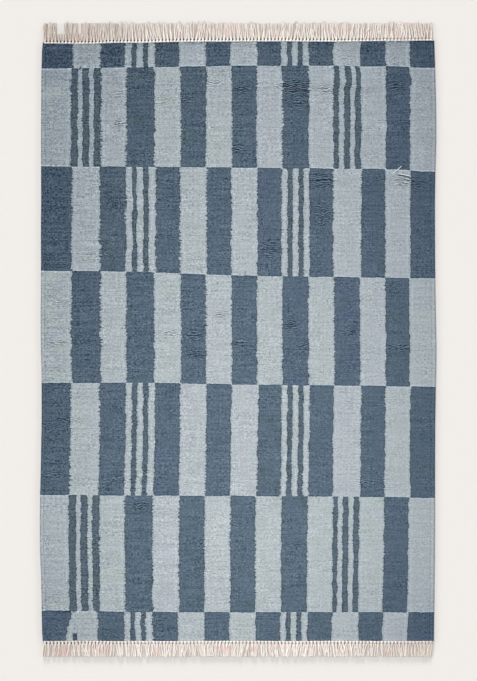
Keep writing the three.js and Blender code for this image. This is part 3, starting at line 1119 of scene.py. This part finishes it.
def knot_places(fringe):
    """Middle of each knot across and where it sits on the hem, for a fringe seen as the top one."""
    side = fringe["side"]
    pitch = KNOTS["row_width"] / KNOTS["count"]
    shift = (FIELD_LOW.x + FIELD_HIGH.x) / 2
    for number in range(KNOTS["count"]):
        x = pitch * (number + 0.5) - KNOTS["row_width"] / 2 + side * shift
        yield number, x, side * FIELD.hem_at(side * x, side) + fringe["off_hem"]


def knot_runs(fringe):
    """Each knot is one turn and a half of the strand round itself."""
    side = fringe["side"]
    runs = []
    for number, x, hem in knot_places(fringe):
        own = scatter(number, fringe["seed"] + 11) - 0.5
        run = []
        for step in range(LOOP_RUN["points"]):
            share = step / (LOOP_RUN["points"] - 1)
            turn = 2 * math.pi * LOOP_RUN["turns"] * share + LOOP_RUN["turn_scatter"] * own
            depth = LOOP_RUN["depth"] * (1 + LOOP_RUN["depth_scatter"] * own)
            along = hem + LOOP_RUN["start"] + depth * share
            aside = x + LOOP["half_width"] * math.cos(turn) + slanted(x, fringe) * (share - 0.7)
            height = LOOP["height"] + LOOP["half_height"] * math.sin(turn)
            run.append(turned(side, aside, along, height))
        runs.append(run)
    return runs


def slanted(x, fringe):
    """How far the knots lean aside, more in some places than in others."""
    return fringe["slant"] * max(0.0, 0.6 + 1.4 * noise.noise(Vector((x * 5, fringe["seed"], 3))))


def parted(x, fringe):
    """How far the tips are combed aside where the fringe is parted."""
    shift = 0.0
    for middle, push in fringe["partings"]:
        away = fringe["side"] * x - middle
        if abs(away) < PARTING["reach"]:
            shift += math.copysign(push * (1 - abs(away) / PARTING["reach"]), away)
    return fringe["side"] * shift


def bleached(x, fringe):
    """How far the lower yarns are bleached, from 0 to 1."""
    return sum(1 - eased(abs(fringe["side"] * x - middle) / half) for middle, half in fringe["bleached"])


def strand_runs(fringe):
    """Yarns of each strand, from inside its knot over the dark cord of painted shadow to their combed tips.
    """
    side = fringe["side"]
    seed = fringe["seed"]
    low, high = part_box("fringe_" + fringe["name"])
    reach = high.y if side > 0 else -low.y
    runs = []
    tones = []
    for number, x, hem in knot_places(fringe):
        wave = math.sin(2 * math.pi * fringe["waves"] * number / KNOTS["count"] + seed)
        sweep = fringe["lean"] * wave + SWEEP["own"] * (2 * scatter(number, seed + 1) - 1)
        sweep += SWEEP["shared"] * noise.noise(Vector((x * SWEEP["scale"], seed, 0)))
        parting = parted(x, fringe)
        slant = slanted(x, fringe)
        for yarn in range(YARN["each_knot"]):
            key = number * YARN["each_knot"] + yarn
            is_under = yarn < YARN["under"]
            if is_under:
                seat = (yarn + 0.5) / YARN["under"] - 0.5
                wide = SPREAD["under"]
                beside = 0.0
                own = [scatter(key, seed + 20 + part) - 0.5 for part in range(7)]
                heights = HEIGHTS["under"]
            else:
                # The upper yarns lie in pairs
                pair, twin = divmod(yarn - YARN["under"], 2)
                seat = (pair - 0.5) * 0.5
                wide = 1
                beside = (twin - 0.5) * YARN["thickness"]
                own = [scatter(number * 2 + pair, seed + 60 + part) - 0.5 for part in range(7)]
                varied = zip(HEIGHTS["upper"], HEIGHTS["vary"], own[1:])
                heights = [height + vary * aside for height, vary, aside in varied]
            end = reach + 0.0002 - fringe["ragged"] * (own[0] + 0.5)
            end += fringe["stray"] * max(0.0, STRAY_FROM - own[0]) / (STRAY_FROM + 0.5)
            neck = hem + fringe["cords"][1]
            combed = x + sweep + SPREAD["tip"] * seat
            if any(abs(side * combed - middle) < half for middle, half in fringe["gaps"]):
                end = lerp(neck, end, GAP_LENGTH + YARN_SCATTER["short"] * own[5])
            cross = CROSSING["under" if is_under else "upper"] * own[2]
            start_x = x + slant * SLANT_SHARES[0] + SPREAD["neck"] * SPREAD["start"] * seat + beside
            neck_x = x + slant * SLANT_SHARES[1] + SPREAD["neck"] * seat + beside
            flare_x = x + (sweep + cross) * SPREAD["share"] + SPREAD["flare"] * wide * seat + beside
            flare_x += slant * SLANT_SHARES[2] + YARN_SCATTER["flare"] * own[1] + PARTING["flare"] * parting
            tip_x = x + sweep + cross + SPREAD["tip"] * wide * seat + beside
            tip_x += parting * (PARTING["under"] if is_under else 1)
            tip_x = min(YARN["end"], max(-YARN["end"], tip_x))
            flare = lerp(neck, end, SPREAD["share"])
            bends = [YARN_SCATTER["bend"] * own[3], YARN_SCATTER["bend"] * own[6]]
            # In its knot, at its neck, at its flare and at its tip, with bends between them
            places = (
                (start_x, hem + YARN["start"], heights[0]),
                (neck_x, neck, heights[1]),
                (lerp(neck_x, flare_x, 0.55), lerp(neck, flare, 0.45), heights[2] + 0.0006),
                (flare_x, flare, heights[2]),
                (lerp(flare_x, tip_x, 0.38) + bends[0], lerp(flare, end, 0.33), heights[3] + 0.0003),
                (lerp(flare_x, tip_x, 0.72) - bends[1], lerp(flare, end, 0.66), heights[3]),
                (tip_x, end, heights[4]),
            )
            runs.append([turned(side, *place) for place in places])
            # The under yarns get low tones, painted as the shade they lie in beneath the upper yarns
            tone = scatter(key, seed + 41)
            shaded_under_tone = fringe["shaded_under_tone"] + 0.3 * tone + BLEACHED_TONE * bleached(x, fringe)
            tones.append(shaded_under_tone if is_under else 0.75 + 0.25 * tone)
    return runs, tones


def hem_cord_run(fringe, cord, off_hem):
    """Points of a cord that runs along the hem."""
    side = fringe["side"]
    half = KNOTS["row_width"] / 2 - cord["yarn"] / 2
    run = []
    for step in range(HEM_CORD_POINTS):
        x = lerp(-half, half, step / (HEM_CORD_POINTS - 1))
        hem = side * FIELD.hem_at(side * x, side)
        run.append(turned(side, x, hem + off_hem, cord["height"]))
    return run


# The rug

yarns = {use: yarn_material(**yarn) for use, yarn in YARNS.items()}
cloth = piece("cloth", cloth_mesh(), wool_material())
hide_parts("woven_field")

on_cloth = []
for fringe in FRINGES:
    end = "_" + fringe["name"]
    knots = knot_runs(fringe)
    tones = [0.85 + 0.15 * scatter(number, fringe["seed"] + 31) for number in range(len(knots))]
    knot_mesh = yarn_mesh("knots", knots, LOOP["yarn"], tones, 8)
    on_cloth.append(piece("knots" + end, knot_mesh, yarns["knots"]))
    strands, tones = strand_runs(fringe)
    strand_mesh = yarn_mesh("strands", strands, YARN["thickness"], tones, YARN["sides"])
    combed = piece("strands" + end, strand_mesh, yarns["strands" + end])
    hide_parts("fringe" + end)
    on_cloth.append(combed)
    # The second hem cord is the dark cord of painted shadow
    cord_yarns = (yarns["knots"], yarns["dark_cord" + end])
    for cord, off_hem, tone, cord_yarn in zip(HEM_CORDS, fringe["cords"], fringe["cord_tones"], cord_yarns):
        run = hem_cord_run(fringe, cord, off_hem)
        cord_mesh = yarn_mesh("cord", [run], cord["yarn"], [tone], 8)
        on_cloth.append(piece(cord["name"] + end, cord_mesh, cord_yarn))

# A weft end left loose on a dark block
loose_run = [(across - 1, HEM_LINE - down, height) for across, down, height in LOOSE_WEFT["points"]]
loose_mesh = yarn_mesh("loose_weft", [loose_run], LOOSE_WEFT["yarn"], [0.8])
on_cloth.append(piece("loose_weft", loose_mesh, yarns["loose_weft"]))

# Floor

floor_material, _, floor_shader = new_material("plain_floor")
floor_shader.inputs["Base Color"].default_value = linear(FLOOR["colour"])
floor_shader.inputs["Roughness"].default_value = 1.0
floor_shader.inputs["Specular IOR Level"].default_value = 0.0
ground = bmesh.new()
bmesh.ops.create_circle(ground, cap_ends=True, segments=FLOOR["sides"], radius=FLOOR["radius"])
bmesh.ops.translate(ground, vec=(0, 0, -FLOOR["below"]), verts=ground.verts[:])
floor = placed("floor", finished_mesh("floor", ground))
floor.data.materials.append(floor_material)
floor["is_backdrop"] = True

# Light: an even pale room, a soft sun from the upper left, one that shows the relief of the cloth, one
# for the fringes, and low ones that give the floor its shadows. Each sun has its heading, its height
# and softness in degrees, its share of a flat floor's light, and what it lights.

SUNS = (
    ("soft_sun", (-0.5, 0.8), 52, 60, 0.30, ()),
    ("raking_sun", (-0.45, 0.9), 22, 14, 0.34, [cloth]),
    ("fringe_sun", (-0.9, 0.3), 42, 14, 0.50, on_cloth),
    ("low_sun", (-0.04, 1.0), 5.6, 5, 0.31, [floor]),
    ("left_low_sun", (-1.0, 0.15), 13, 12, 0.13, [floor]),
    ("right_low_sun", (1.0, 0.15), 13, 12, 0.13, [floor]),
    ("near_low_sun", (0.0, -1.0), 12, 12, 0.075, [floor]),
)


def add_sun(name, heading, height, softness, share, lit):
    flat = Vector(heading).normalized() * math.cos(math.radians(height))
    direction = Vector((*flat, math.sin(math.radians(height))))
    light = bpy.data.lights.new(name, "SUN")
    light.energy = share * math.pi / direction.z
    light.angle = math.radians(softness)
    sun = placed(name, light)
    sun.rotation_mode = "QUATERNION"
    sun.rotation_quaternion = direction.to_track_quat("Z", "Y")
    if lit:
        sun.light_linking.receiver_collection = bpy.data.collections.new("lit_by_" + name)
        for member in lit:
            sun.light_linking.receiver_collection.objects.link(member)


for sun in SUNS:
    add_sun(*sun)
room = bpy.data.worlds.new("room")
bpy.context.scene.world = room
room.use_nodes = True
background = room.node_tree.nodes["Background"].inputs
background["Color"].default_value = (1.0, 0.99, 0.985, 1)
background["Strength"].default_value = 0.46

# Camera, straight above

camera = placed("camera", bpy.data.cameras.new("camera"))
camera.data.lens = 100
camera.data.sensor_width = 36
camera.location = (0.0020, -0.0036, 9.601)
bpy.context.scene.camera = camera
bpy.context.scene.view_settings.view_transform = "Standard"

VISUAL_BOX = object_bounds()
boxes = {"cad": CAD_BOX, "visual": VISUAL_BOX}
{name: [list(corner) for corner in box] for name, box in boxes.items()}
